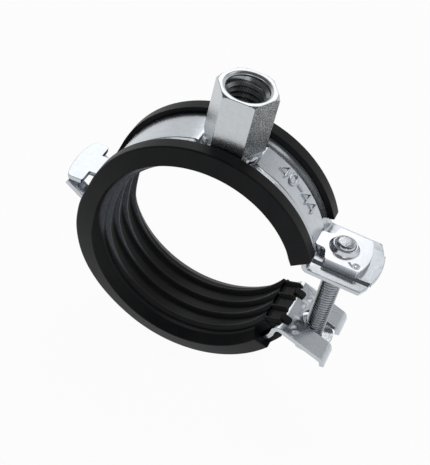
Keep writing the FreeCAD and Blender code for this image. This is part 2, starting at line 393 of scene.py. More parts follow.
def curve_mesh(curve):
    """The mesh of a curve, which is removed afterwards."""
    holder = bpy.data.objects.new("holder", curve)
    bpy.context.scene.collection.objects.link(holder)
    graph = bpy.context.evaluated_depsgraph_get()
    mesh = bpy.data.meshes.new_from_object(holder.evaluated_get(graph))
    bm = bmesh.new()
    bm.from_mesh(mesh)
    bpy.data.objects.remove(holder)
    bpy.data.meshes.remove(mesh)
    bmesh.ops.remove_doubles(bm, verts=bm.verts, dist=0.0005)
    return bm


# Strokes of the stamped signs, in shares of their height
SIGNS = {
    "4": (((0.20, -0.5), (0.20, 0.5), (-0.34, -0.19), (0.36, -0.19)), False),
    "0": (tuple(
        (0.27 * math.cos(math.radians(a)), 0.5 * math.sin(math.radians(a)))
        for a in range(0, 360, 20)), True),
    "-": (((-0.26, 0.0), (0.26, 0.0)), False),
}


def stamped(sign, size, half):
    """A sign of round strokes in millimetres, centred on the origin and facing +Z."""
    points, closed = SIGNS[sign]
    curve = bpy.data.curves.new("strokes", "CURVE")
    curve.dimensions = "3D"
    curve.bevel_depth = half
    curve.bevel_resolution = 3
    curve.use_fill_caps = True
    line = curve.splines.new("POLY")
    line.points.add(len(points) - 1)
    for point, (x, y) in zip(line.points, points):
        point.co = (size * x, size * y, 0, 1)
    line.use_cyclic_u = closed
    return curve_mesh(curve)


class Strip:
    """A sheet walked along its outer face. Each step sweeps the front edges on."""

    def __init__(self, heights, point, travel, normal):
        self.bm = bmesh.new()
        self.point, self.travel, self.normal = Vector(point), Vector(travel), Vector(normal)
        self.rows = []
        self.start_row(heights)

    def start_row(self, heights):
        made = wire(self.bm, [self.point + Y_AXIS * y for y in heights])
        self.front = only(made, bmesh.types.BMEdge)
        self.rows.append((self.normal.copy(), only(made, bmesh.types.BMVert)))

    def step(self, move):
        fresh, self.front = sweep_on(self.bm, self.front)
        bmesh.ops.transform(self.bm, matrix=move, verts=fresh)
        self.rows.append((self.normal.copy(), fresh))

    def straight(self, length, steps=1):
        for _ in range(steps):
            move = self.travel * length / steps
            self.point = self.point + move
            self.step(Matrix.Translation(move))

    def turn(self, centre, degrees, steps):
        """Turns about a point, clockwise where degrees are positive."""
        for _ in range(steps):
            move = turn_y(centre, degrees / steps)
            self.point = move @ self.point
            self.travel = move.to_3x3() @ self.travel
            self.normal = move.to_3x3() @ self.normal
            self.step(move)

    def bend(self, radius, degrees, steps, outward=True):
        arm = self.normal * (radius if outward else -radius)
        way = Vector((-arm.z, 0, arm.x)).dot(self.travel)
        self.turn(self.point + arm, degrees if way > 0 else -degrees, steps)

    def narrow(self, half):
        self.front = [
            e for e in self.front if max(abs(v.co.y) for v in e.verts) < half + 1e-4]

    def lift(self, first, last, shape):
        """Moves the points of some rows along their normals by shape(row, y)."""
        for index in range(first, last):
            normal, verts = self.rows[index]
            for vert in verts:
                vert.co += normal * shape(index, vert.co.y)

    def solid(self, name, sheet, matrix=None):
        """Gives the sheet its thickness, on the inner side."""
        bm = self.bm
        bmesh.ops.remove_doubles(bm, verts=bm.verts, dist=0.002)
        bmesh.ops.recalc_face_normals(bm, faces=bm.faces)
        normal, verts = self.rows[1]
        face = next(v for v in verts if v.is_valid).link_faces[0]
        if face.normal.dot(normal) < 0:
            bmesh.ops.reverse_faces(bm, faces=bm.faces)
        piece = finish_mesh(bm, name, matrix)
        wall = piece.modifiers.new("wall", "SOLIDIFY")
        wall.thickness = sheet * MM
        wall.offset = -1
        wall.use_even_offset = True
        bake(piece)
        settle(piece)
        return piece


def leave_ring(radius, degrees, clockwise):
    """Point, direction of travel and normal of a strip that starts on the ring."""
    out = ring_point(1, degrees)
    travel = Vector((out.z, 0, -out.x))
    return out * radius, travel if clockwise else -travel, out


def mirrored(heights):
    """A list of heights on both sides of the middle."""
    return [-y for y in reversed(heights) if y > 0] + list(heights)


# Way out of the boss's flat that faces right in the photograph
# Shade is painted over this flat.
RIGHT_FLAT = (0.895, -0.446, 0.0)
# Share of its colour that zinc keeps where shade is painted on it and where it is mottled
SHADE_AND_MOTTLE_SHARE = 0.12
# How many times lighter than clean rubber the bloom is, and the painted sheen on the inner side
BLOOM = 1.8
SHEEN_LIGHTER = 24.0


def add(tree, kind, links=None, **settings):
    """Adds a node with its settings. links maps an input to a value or an output."""
    node = tree.nodes.new(kind)
    for name, value in settings.items():
        setattr(node, name, value)
    for name, value in (links or {}).items():
        socket = node.inputs[name]
        if isinstance(value, bpy.types.NodeSocket):
            tree.links.new(value, socket)
        else:
            socket.default_value = value
    return node


def new_material(name):
    """A material without nodes, and its tree."""
    material = bpy.data.materials.new(name)
    material.use_nodes = True
    material.node_tree.nodes.clear()
    return material, material.node_tree


def mix(tree, share, low, high):
    made = add(tree, "ShaderNodeMix", {0: share, 6: low, 7: high}, data_type="RGBA")
    return made.outputs[2]


def combine(tree, operation, first, second):
    """One step of arithmetic on two values."""
    return add(tree, "ShaderNodeMath", {0: first, 1: second}, operation=operation).outputs[0]


def noise(tree, place, size, detail, roughness=0.5):
    """Soft noise with blotches of about this size in millimetres."""
    return add(tree, "ShaderNodeTexNoise", {
        "Vector": place, "Scale": 1 / (size * MM), "Detail": detail,
        "Roughness": roughness}).outputs[0]


def grade(tree, value, low, high, out_low, out_high, kind="LINEAR"):
    """Maps the range from low to high onto another, and clamps what lies outside."""
    made = add(tree, "ShaderNodeMapRange", {
        "Value": value, "From Min": low, "From Max": high,
        "To Min": out_low, "To Max": out_high}, interpolation_type=kind)
    return made.outputs[0]


def fade(tree, value, low, high, out_low, out_high):
    return grade(tree, value, low, high, out_low, out_high, "SMOOTHSTEP")


def from_axis(tree, place, across):
    """Distance from an axis. across is 1 in the two directions that count."""
    flat = add(tree, "ShaderNodeVectorMath", {0: place, 1: across}, operation="MULTIPLY")
    return add(
        tree, "ShaderNodeVectorMath", {0: flat.outputs[0]}, operation="LENGTH").outputs["Value"]


def shaded(colour, factor):
    """A colour made darker or lighter."""
    return (*(c * factor for c in colour[:3]), 1.0)


def shade_and_mottle_boss(tree, place, blotches):
    """Where shade is painted on the boss: down in its bore and thread, and over its right flat,
    which blotches also mottle.
    """
    flat = add(tree, "ShaderNodeVectorMath", {
        0: place, 1: RIGHT_FLAT}, operation="DOT_PRODUCT").outputs["Value"]
    height = add(tree, "ShaderNodeSeparateXYZ", {0: place}).outputs[2]
    # Painted shade: the right flat is darkened all over, more in some blotches than in others.
    patch = combine(
        tree, "MULTIPLY", fade(tree, flat, 6.35 * MM, 6.48 * MM, 0.0, 0.97),
        fade(tree, blotches, 0.42, 0.60, 1.0, 0.5))
    # The painted shade leaves the drops of weld at the foot bright.
    patch = combine(
        tree, "MULTIPLY", patch, fade(tree, height, 27.8 * MM, 28.4 * MM, 0.0, 1.0))
    # Painted shade in the bore: darkest down in the thread, paler towards the mouth.
    bore = combine(
        tree, "MULTIPLY",
        fade(tree, from_axis(tree, place, (1, 1, 0)), 5.0 * MM, 5.1 * MM, 0.75, 0.0),
        fade(tree, height, (BOSS_TOP - 5) * MM, (BOSS_TOP - 0.4) * MM, 1.0, 0.5))
    return combine(tree, "MAXIMUM", patch, bore)


def shade_and_mottle_bolt(tree, place, blotches):
    """Where the bolt is darkened: painted shade down in its thread's grooves, and dull blotches
    on its tip.
    """
    middle = add(tree, "ShaderNodeVectorMath", {
        0: place, 1: (BOLT_X * MM, 0, 0)}, operation="SUBTRACT").outputs[0]
    radius = from_axis(tree, middle, (1, 1, 0))
    height = add(tree, "ShaderNodeSeparateXYZ", {0: place}).outputs[2]
    top = BOLT_HIGH.z
    shank = fade(tree, height, (top - 1.2) * MM, (top - 1.0) * MM, 1.0, 0.0)
    crest = mm("bolt") / 2
    # Painted shade down in the grooves of the thread, below the tip.
    grooves = combine(
        tree, "MULTIPLY",
        fade(tree, radius, (crest - 0.42) * MM, (crest - 0.12) * MM, 0.85, 0.0), shank)
    tip = combine(
        tree, "MULTIPLY", fade(tree, height, (top - 0.5) * MM, (top - 0.1) * MM, 0.0, 1.0),
        fade(tree, blotches, 0.40, 0.54, 0.85, 0.0))
    return combine(tree, "MAXIMUM", grooves, tip)


def zinc(colour, name, grain, cloud, darkest, rough, waves, shade_and_mottle=None):
    """Zinc plated steel. Plating leaves a soft cloud over a fine crystal grain."""
    material, tree = new_material(name)
    place = add(tree, "ShaderNodeTexCoord").outputs["Object"]
    clouds = noise(tree, place, cloud, 4.0, 0.6)
    grains = noise(tree, place, grain, 3.0, 0.7)
    share = grade(tree, combine(tree, "MULTIPLY", clouds, grains), 0.14, 0.36, 0.0, 1.0)
    tint = mix(tree, share, shaded(colour, darkest), colour)
    # Painted shade: where the mask says, the colour darkens towards a dark copy of itself, for
    # hollows, for a flat that light misses and for mottled blotches.
    if shade_and_mottle:
        tint = mix(tree, shade_and_mottle(tree, place, grains), tint, shaded(colour, SHADE_AND_MOTTLE_SHARE))
    roughness = grade(tree, grains, 0.3, 0.7, rough - 0.03, rough + 0.04)
    relief = add(tree, "ShaderNodeBump", {
        "Height": clouds, "Strength": 1.0, "Distance": waves * MM}).outputs[0]
    surface = add(tree, "ShaderNodeBsdfPrincipled", {
        "Base Color": tint, "Metallic": 1.0, "Roughness": roughness, "Normal": relief})
    add(tree, "ShaderNodeOutputMaterial", {"Surface": surface.outputs[0]})
    return material


def rubber(colour, name):
    """Moulded black rubber, with a fine matt grain, a little bloom and a painted sheen on its
    inner side.
    """
    material, tree = new_material(name)
    place = add(tree, "ShaderNodeTexCoord").outputs["Object"]
    bloom = noise(tree, place, 5.0, 5.0, 0.65)
    grain = noise(tree, place, 0.25, 2.0)
    tint = mix(tree, grade(tree, bloom, 0.35, 0.75, 0.0, 1.0), colour, shaded(colour, BLOOM))
    # Painted sheen: the inner side is tinted lighter, most of all towards the left where light
    # falls on it, broken up by the grain.
    along = add(tree, "ShaderNodeSeparateXYZ", {0: place}).outputs[0]
    inside = combine(
        tree, "MULTIPLY",
        fade(tree, from_axis(tree, place, (1, 0, 1)), 23.9 * MM, 24.6 * MM, 1.0, 0.0),
        fade(tree, along, -20.0 * MM, -8.0 * MM, 1.0, 0.15))
    painted_sheen = combine(tree, "MULTIPLY", inside, fade(tree, grain, 0.35, 0.65, 0.45, 1.0))
    tint = mix(tree, painted_sheen, tint, shaded(colour, SHEEN_LIGHTER))
    roughness = grade(tree, grain, 0.3, 0.7, 0.38, 0.50)
    relief = add(tree, "ShaderNodeBump", {
        "Height": grain, "Strength": 0.25, "Distance": 0.06 * MM}).outputs[0]
    surface = add(tree, "ShaderNodeBsdfPrincipled", {
        "Base Color": tint, "Roughness": roughness, "IOR": 1.5, "Normal": relief,
        "Specular IOR Level": 0.15})
    add(tree, "ShaderNodeOutputMaterial", {"Surface": surface.outputs[0]})
    return material


# The zinc of each slot: the material's name, the size of its grain and of its clouds, how dark
# the clouds get, its roughness, the height of its waves and its mask of painted shade and
# mottling
ZINCS = {
    # Stamped sheet: bluish, with soft wide clouds
    "zinc_band": ("zinc_plated_band", 0.35, 1.8, 0.90, 0.22, 0.02),
    # Drawn hexagon bar: a finer and duller grain, with painted shade in its bore and on its right
    # flat
    "zinc_boss": ("zinc_plated_boss", 0.3, 1.1, 0.92, 0.25, 0.02, shade_and_mottle_boss),
    # Thick flat plate: almost a mirror
    "zinc_plate": ("zinc_plated_nut_plate", 0.4, 2.5, 0.94, 0.20, 0.02),
    # Rolled thread: bright crests with specks of light, painted shade in its grooves and dull
    # blotches on its tip
    "zinc_bolt": ("zinc_plated_bolt", 0.2, 0.9, 0.86, 0.15, 0.05, shade_and_mottle_bolt),
}
FINISHES = {}


def finish(slot):
    """The materials are made once, from the colours on the panel."""
    if not FINISHES:
        look = bpy.context.scene.clamp_finishes
        for name, values in ZINCS.items():
            FINISHES[name] = zinc(tuple(getattr(look, name)), *values)
        FINISHES["lining"] = rubber(tuple(look.rubber), "moulded_rubber")
    return FINISHES[slot]


def dress(piece, body, slot, *nodes):
    """Gives a finished piece its material and ties it to its body."""
    piece.data.materials.clear()
    piece.data.materials.append(finish(slot))
    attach(piece, body)
    if nodes:
        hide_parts(*nodes)
    return piece


# The bolt flange of the upper band: its top, its bend, its tip and the tip's radius.
# These sizes of the bands are in millimetres and degrees.
UPPER_FLANGE_Z = 8.7
UPPER_BEND = 1.2
UPPER_REACH = 41.5
UPPER_NOSE = 17.6
# The left flange, on which the hook lies: flat at first, then tilted
LEFT_FLANGE_Z = -0.1
LEFT_BEND = 1.2
LEFT_HALF = 7.8
LEFT_FLAT = 1.6
LEFT_TILT = 32.0
LEFT_TILT_BEND = 2.0
LEFT_RAMP = 4.5
# The window for the hook's neck
WINDOW_HALF = 3.85
WINDOW_REACH = 32.8
# The bolt flange of the lower band: where it leaves the ring, its slope and its flat
# length, of which the first part is crumpled, and its turned down lips
LOWER_RIGHT = 21.5
LOWER_BEND = 0.8
LOWER_SLOPE = 14.0
LOWER_FLAT = 11.5
CRUMPLE = 4.0
# The wrinkle in the crumpled part: how far along it lies, how far it wanders, half of
# its width, its depth and how much that varies
WRINKLE = (2.4, 0.5, 0.6, 0.16, 0.12)
LIP_BEND = 0.6
LIP_TURN = 57.0
LIP_LENGTH = 1.0
# The hook: where it leaves the ring, its slope, its tip and its neck and head
HOOK_LEAVE = 163.0
HOOK_TILT = 8.0
HOOK_BEND = 0.8
HOOK_REACH = 36.3
NECK_HALF = 3.5
HEAD_LENGTH = 5.0
HEAD_HALF = 7.35
HEAD_ROUND = 0.9
HOOK_NOSE = 24.0
HOOK_GAP = 0.05
# The slots for the bolt: where the lower one starts on its flange, where the upper
# one's round ends lie from the bolt's axis, and the play round the bolt
SLOT_START = 5.3
SLOT_ENDS = (-0.2, 3.9)
SLOT_GAP = 0.3
# The window of the upper flange, round the tongue of the nut plate
TONGUE_HALF = 2.7
TONGUE_PLAY = 0.3
WINDOW_LONG = 3.7
# Edges of the pads: near side, far side
PAD_LEFT = (-4.0, 6.7)
PAD_RIGHT = (-4.0, 3.3)
PAD_FLANGE = (-5.6, 4.9)
PAD_WALL = 0.6
PAD_END_ROUND = 0.12
# Angles between which the pads' ends and the lower margin slope, foot first
LEFT_PAD_ENDS = ((163, 159), (101, 104))
RIGHT_PAD_END = (79, 76)
LOWER_PAD_ENDS = ((30, 33), (150, 147))
LOWER_RIM_END = (158, 154)
# The near margin of the bolt flange has a wider wall and leans outward.
FLANGE_WALL = 1.5
NEAR_LEAN = 0.14
NEAR_LEAN_WIDTH = 2.0
# The margins curl up by this much, between a foot and a top.
RING_RIM = 0.5
RING_RIM_FOOT = 4.8
RING_RIM_TOP = 7.1
FLANGE_RIM = 0.3
FLANGE_RIM_FOOT = 6.2
MARGIN_EDGE = 9.2
# A sheet has one row of points for each step of this angle.
ROW_DEGREES = 1.5

# Heights across the sheet, close together where the pad's wall stands
HEIGHTS = mirrored(
    [0, 1.0, 2.0, 2.6] + [2.9 + 0.15 * k for k in range(28)] + [7.4, 7.8, 8.5, 9.2])


def pad_shape(height, edges, y, wall=PAD_WALL):
    """Height of the pad's surface over the margin."""
    beyond = max(edges[0] - y, y - edges[1])
    return height * (1 - min(1.0, max(0.0, beyond / wall)))


def rim_shape(height, foot, top, y):
    """Height of the margin, which curls up towards the edge."""
    return height * min(1.0, max(0.0, (abs(y) - foot) / (top - foot))) ** 2


def left_end():
    """Walks the left flange of the upper band and gives the strip."""
    radius = mm("band_outer")
    centre = radius + LEFT_BEND
    angle = 180 - math.degrees(math.asin((LEFT_FLANGE_Z + LEFT_BEND) / centre))
    heights = [y for y in HEIGHTS if abs(y) <= LEFT_HALF + 1e-6]
    strip = Strip(heights, *leave_ring(radius, angle, False))
    strip.bend(LEFT_BEND, angle - 90, 8)
    strip.straight(LEFT_FLAT, 2)
    strip.bend(LEFT_TILT_BEND, LEFT_TILT, 5)
    strip.straight(LEFT_RAMP, 4)
    return strip, angle


def hinge_point():
    """The tip of the left flange, on which the hook lies."""
    strip, _ = left_end()
    point = strip.point.copy()
    strip.bm.free()
    return point


def open_matrix():
    """The lower half hangs open about the tip of the left flange."""
    return turn_y(hinge_point(), math.degrees(sizes().opening))


# The pipe sizes on the right pad: the angle and the height of their middle, how tall
# they are, half of a stroke's width and how far its middle stands over the pad
STAMP_MIDDLE = 50.0
STAMP_Y = 0.7
STAMP_SIZE = 3.5
STAMP_STROKE = 0.35
STAMP_LIFT = 0.13
# Each sign with its place along the ring
STAMP_SIGNS = (("4", -6.0), ("0", -3.1), ("-", -0.5), ("4", 2.0), ("4", 4.7))


class CLAMP_OT_upper_band(bpy.types.Operator):
    """Upper band with its raised pad, bolt flange and hook flange"""

    bl_idname = "clamp.upper_band"
    bl_label = "Upper band"

    def execute(self, context):
        radius = mm("band_outer")
        raised = mm("pad_raise")
        sheet = mm("sheet")
        left, left_angle = left_end()
        strip = Strip(HEIGHTS, *leave_ring(radius, left_angle, True))
        right_angle = math.degrees(
            math.asin((UPPER_FLANGE_Z + UPPER_BEND) / (radius + UPPER_BEND)))
        sweep = left_angle - right_angle
        count = round(sweep / ROW_DEGREES)
        strip.turn(ORIGIN, sweep, count)
        bend_row = len(strip.rows)
        strip.bend(UPPER_BEND, 90 - right_angle, 8)
        flange_row = len(strip.rows)
        start_x = strip.point.x
        strip.straight(UPPER_REACH - start_x, 12)

        def lift(row, y):
            angle = left_angle - sweep * min(row, count) / count
            # The ends of the pads are round.
            back = PAD_END_ROUND * y * y
            hook_end, boss_end = LEFT_PAD_ENDS
            share = max(
                smooth_step(*hook_end, angle) * smooth_step(*boss_end, angle - back),
                smooth_step(*RIGHT_PAD_END, angle + back))
            grow = smooth_step(bend_row - 1, flange_row, row)
            edges = PAD_LEFT
            if angle < 90:
                edges = [a + (b - a) * grow for a, b in zip(PAD_RIGHT, PAD_FLANGE)]
            rim = RING_RIM + (FLANGE_RIM - RING_RIM) * grow
            rim *= smooth_step(left_angle, left_angle - 5, angle)
            if y < 0:
                rim *= 1 - grow
            foot = RING_RIM_FOOT + (FLANGE_RIM_FOOT - RING_RIM_FOOT) * grow
            top = RING_RIM_TOP + (MARGIN_EDGE - RING_RIM_TOP) * grow
            margin = rim_shape(rim, foot, top, y)
            wall = PAD_WALL
            if y < 0:
                margin += grow * NEAR_LEAN * min(NEAR_LEAN_WIDTH, MARGIN_EDGE + y)
                wall += grow * (FLANGE_WALL - PAD_WALL)
            return max(share * pad_shape(raised, edges, y, wall), margin)

        strip.lift(0, len(strip.rows), lift)
        nose_x = UPPER_REACH - UPPER_NOSE
        for _, verts in strip.rows[flange_row:]:
            for vert in verts:
                reach = nose_x + math.sqrt(UPPER_NOSE ** 2 - vert.co.y ** 2)
                vert.co.x = start_x + (vert.co.x - start_x) * (reach - start_x) / (
                    UPPER_REACH - start_x)
        # The hook flange grows out of the same first row.
        absorb(strip.bm, left.bm)
        band = strip.solid("band_upper", sheet)
        low = UPPER_FLANGE_Z - 3
        tongue = TONGUE_HALF + TONGUE_PLAY
        tools = [
            slot_tool(
                mm("bolt") / 2 + SLOT_GAP, BOLT_X + SLOT_ENDS[0], BOLT_X + SLOT_ENDS[1],
                low, low + 6),
            block(
                "window", (PLATE_LOW.x - TONGUE_PLAY, -tongue, PLATE_LOW.z),
                (PLATE_LOW.x + WINDOW_LONG, tongue, PLATE_LOW.z + 2.1)),
            block(
                "hook_window", (-WINDOW_REACH, -WINDOW_HALF, -6),
                (-mm("band_outer") + sheet + 1.5 - 0.3, WINDOW_HALF, 1.9)),
        ]
        boolean(band, tools)
        tidy_flats(band)
        round_edges(band, mm("edge_round"))
        join(band, self.size_stamp(radius + raised))
        dress(band, "upper_half", "zinc_band", "upper_band")
        return {"FINISHED"}

    def size_stamp(self, radius):
        """The range of pipe sizes in millimetres, raised on the pad."""
        bm = bmesh.new()
        for sign, along in STAMP_SIGNS:
            part = stamped(sign, STAMP_SIZE, STAMP_STROKE)
            for vert in part.verts:
                out = ring_point(1, STAMP_MIDDLE - math.degrees((vert.co.x + along) / radius))
                vert.co = out * (radius + vert.co.z + STAMP_LIFT) + Y_AXIS * (
                    vert.co.y + STAMP_Y)
            absorb(bm, part)
        stamp = finish_mesh(bm, "stamp")
        shade(stamp, 60, False)
        return stamp


def cross_lines(p, d, q, e):
    """The point where two lines in the XZ plane cross, each a point and a direction."""
    det = d.x * -e.z + e.x * d.z
    share = ((q.x - p.x) * -e.z + e.x * (q.z - p.z)) / det
    return p + d * share


class CLAMP_OT_lower_band(bpy.types.Operator):
    """Lower band with its slotted flange and the hook"""

    bl_idname = "clamp.lower_band"
    bl_label = "Lower band"

    def execute(self, context):
        radius = mm("band_outer")
        raised = mm("pad_raise")
        sheet = mm("sheet")
        # Ring part, walked clockwise from the bolt side to the hook.
        strip = Strip(HEIGHTS, *leave_ring(radius, -LOWER_RIGHT, True))
        sweep = HOOK_LEAVE - LOWER_RIGHT
        count = round(sweep / ROW_DEGREES)
        strip.turn(ORIGIN, sweep, count)
        ring_rows = len(strip.rows)

        def lift(row, y):
            angle = LOWER_RIGHT + sweep * row / count
            bolt_end, hook_end = LOWER_PAD_ENDS
            share = smooth_step(*bolt_end, angle) * smooth_step(*hook_end, angle)
            rim = RING_RIM * smooth_step(LOWER_RIGHT, LOWER_RIGHT + 4, angle)
            rim *= smooth_step(*LOWER_RIM_END, angle)
            return max(
                share * pad_shape(raised, PAD_RIGHT, y),
                rim_shape(rim, RING_RIM_FOOT, RING_RIM_TOP, y))

        strip.lift(0, ring_rows, lift)
        # Neck of the hook, then its cross bar.
        strip.narrow(NECK_HALF)
        pivot = hinge_point()
        under = pivot + Vector((0, 0, HOOK_GAP))
        tilt = math.radians(HOOK_TILT)
        direction = Vector((-math.cos(tilt), 0, -math.sin(tilt)))
        meet = cross_lines(strip.point, strip.travel, under, direction)
        turn = 180 + HOOK_TILT - math.degrees(math.atan2(strip.travel.z, strip.travel.x))
        trim = HOOK_BEND * math.tan(math.radians(turn / 2))
        strip.straight((meet - strip.point).length - trim, 4)
        strip.bend(HOOK_BEND, turn, 7)
        head_start = HOOK_REACH - HEAD_LENGTH
        strip.straight((strip.point.x + head_start) / math.cos(tilt), 3)
        strip.start_row(mirrored(
            [y for y in HEIGHTS if 0 <= y < HEAD_HALF - HEAD_ROUND] + [
                HEAD_HALF - HEAD_ROUND * (1 - math.sin(math.radians(22.5 * k)))
                for k in range(5)]))
        base_x = strip.point.x
        steps = 6
        first = len(strip.rows)
        strip.straight((HOOK_REACH + base_x) / math.cos(tilt), steps)
        nose_x = -HOOK_REACH + HOOK_NOSE
        for row, (_, verts) in enumerate(strip.rows[first - 1:]):
            for vert in verts:
                over = max(0.0, abs(vert.co.y) - (HEAD_HALF - HEAD_ROUND))
                corner = HEAD_ROUND - math.sqrt(max(0.0, HEAD_ROUND ** 2 - over ** 2))
                reach = nose_x - math.sqrt(HOOK_NOSE ** 2 - vert.co.y ** 2) + corner
                inner = base_x - 0.5 * corner
                wanted = inner + (reach - inner) * row / steps
                vert.co.z += (wanted - vert.co.x) * math.tan(tilt)
                vert.co.x = wanted
        # Bolt flange with its turned down lips.
        flange = Strip(HEIGHTS, *leave_ring(radius, -LOWER_RIGHT, False))
        flange.bend(LOWER_BEND, 90 - LOWER_RIGHT + LOWER_SLOPE, 8)
        along, foot, up = flange.travel.copy(), flange.point.copy(), -flange.normal
        first = len(flange.rows)
        flange.straight(CRUMPLE, 8)
        flange.straight(LOWER_FLAT - CRUMPLE, 6)

        def crumple(row, y):
            place, wander, wide, deep, vary = WRINKLE
            away = CRUMPLE * (row - first + 1) / 8 - (place + wander * math.cos(1.1 * y))
            ridge = math.exp(-(away / wide) ** 2)
            return -ridge * (deep + vary * math.cos(2.1 * y + 1)) * smooth_step(8.8, 7.5, abs(y))

        flange.lift(first, first + 8, crumple)
        flange.bend(LIP_BEND, LIP_TURN, 5)
        flange.straight(LIP_LENGTH, 2)
        absorb(strip.bm, flange.bm)
        opened = open_matrix()
        band = strip.solid("band_lower", sheet, opened)
        # Slot that lets the bolt in from the side.
        middle = foot + along * (SLOT_START / math.cos(math.radians(LOWER_SLOPE)))
        lay = Matrix((along, Y_AXIS, up)).transposed().to_4x4()
        lay.translation = middle
        tool = slot_tool(mm("bolt") / 2 + SLOT_GAP, 0, 16, -6, 6, opened @ lay)
        boolean(band, [tool])
        tidy_flats(band)
        round_edges(band, mm("edge_round"))
        dress(band, "lower_half", "zinc_band", "lower_band")
        return {"FINISHED"}


# Section of the lining. A rib has half widths at its crest and at its foot.
RIB_HEIGHT = 1.05
RIB_PITCH = 4.7
RIB_CREST = 0.3
RIB_FOOT = 0.65
LINING_WALL = 2.35
RUBBER_GAP = 0.05
LIP_FOOT = 7.1
LIP_IN = 6.9
LIP_OUT = 10.4
MOUTH_Y = 11.8
MOUTH_FLARE = 1.5
MOUTH_LAND = 9.3


def lining_points():
    """The section of the lining, as points of Y and radius."""
    crest = mm("seat")
    land = crest + RIB_HEIGHT
    outer = land + LINING_WALL
    over = mm("band_outer") + RING_RIM + RUBBER_GAP
    lip = mm("band_outer") + mm("lip")
    mouth = land + MOUTH_FLARE
    side = [
        (mm("band_half") + RUBBER_GAP, outer), (mm("band_half") + RUBBER_GAP, over),
        (LIP_FOOT, over), (LIP_IN, lip), (LIP_OUT - 0.35, lip), (LIP_OUT, lip - 0.25),
        (MOUTH_Y, mouth), (MOUTH_LAND, land)]
    for centre in (1.5 * RIB_PITCH, 0.5 * RIB_PITCH):
        side += [(centre + RIB_FOOT, land), (centre + RIB_CREST, crest),
                 (centre - RIB_CREST, crest), (centre - RIB_FOOT, land)]
    return side + [(-y, r) for y, r in reversed(side)]


# Where the lining ends, as angles over and under the opening: its upper end, its
# lower lips and its lower body, which goes on between the lips
UPPER_END = 24.0
LOWER_END = 30.4
BODY_END = 22.5
BODY_HALF = 8.2
# How far the free lip swells out below the fold, the angles between which the swelling
# starts and ends, and the height over which it grows
LIP_SWELL = 0.95
SWELL_ENDS = ((166, 184), (250, 205))
SWELL_RISE = 5.5
# Section of the apron over the lower bend, in X and Z, and its ribs and waves
APRON_SECTION = (
    (21.0, -9.8), (23.3, -8.9), (24.1, -8.5), (24.9, -8.2), (25.5, -8.2),
    (25.8, -8.35), (25.9, -8.5), (25.6, -8.65), (24.8, -9.0), (24.1, -10.2),
    (23.0, -11.2))
APRON_RIB = 0.9
APRON_WAVE = 0.4
# Middles of the two rubber tongues, and their foot, half width and thickness
TONGUES = (-5.4, 4.6)
TONGUE_X = 25.4
TONGUE_Z = -8.35
TONGUE_WIDE = 1.1
TONGUE_THICK = 0.9
# Heights between which the lining folds at the hook
FOLD_TOP = 3.0
FOLD_LOW = -7.0


